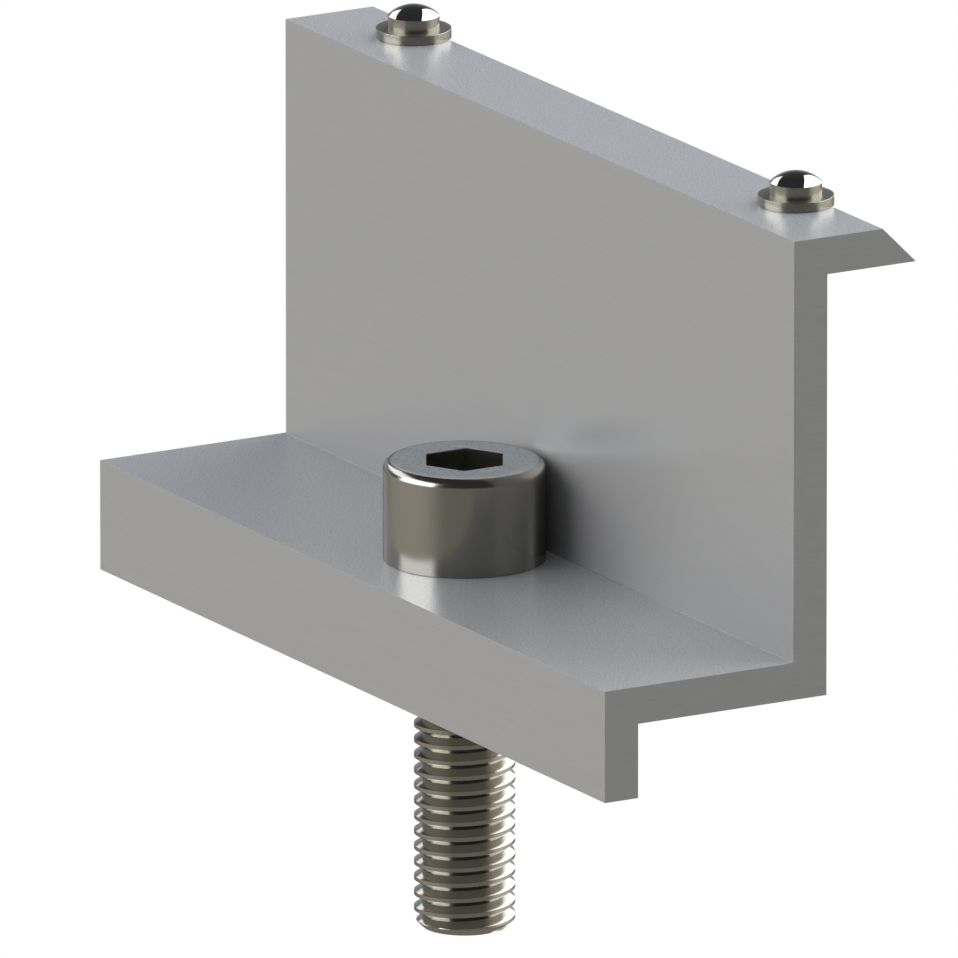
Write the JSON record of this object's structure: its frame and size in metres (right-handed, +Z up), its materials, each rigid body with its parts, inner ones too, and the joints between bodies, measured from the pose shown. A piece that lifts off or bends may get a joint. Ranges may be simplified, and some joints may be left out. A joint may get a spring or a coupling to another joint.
{
  "type": "solar end clamp",
  "caption": "Z-shaped extruded clamp for the outer edge of a framed solar module: bevelled lip with domed earthing pins, and a socket head cap screw down into the rail.",
  "frame": {"origin": "where the screw's axis crosses the plane of the leg's foot, which stands on the rail", "axes": "+X along the extrusion, +Y from the leg towards the module, +Z up from the rail along the screw's axis"},
  "size_m": [0.08, 0.028, 0.0667],
  "materials": {
    "extruded_aluminium": "satin, as extruded and anodised, with sawn ends",
    "stainless_screw": "plain turned and rolled stainless steel",
    "stainless_pin": "polished stainless steel"
  },
  "bodies": {
    "clamp": {"clamp_body": "extruded_aluminium", "earthing_pin_left": "stainless_pin", "earthing_pin_right": "stainless_pin"},
    "screw": {"cap_screw": "stainless_screw"}
  },
  "joints": [
    {"name": "screw_spin", "type": "hinge", "parent": "clamp", "child": "screw", "pos_m": [0, 0, 0.009], "axis": [0, 0, 1], "continuous": true}
  ]
}
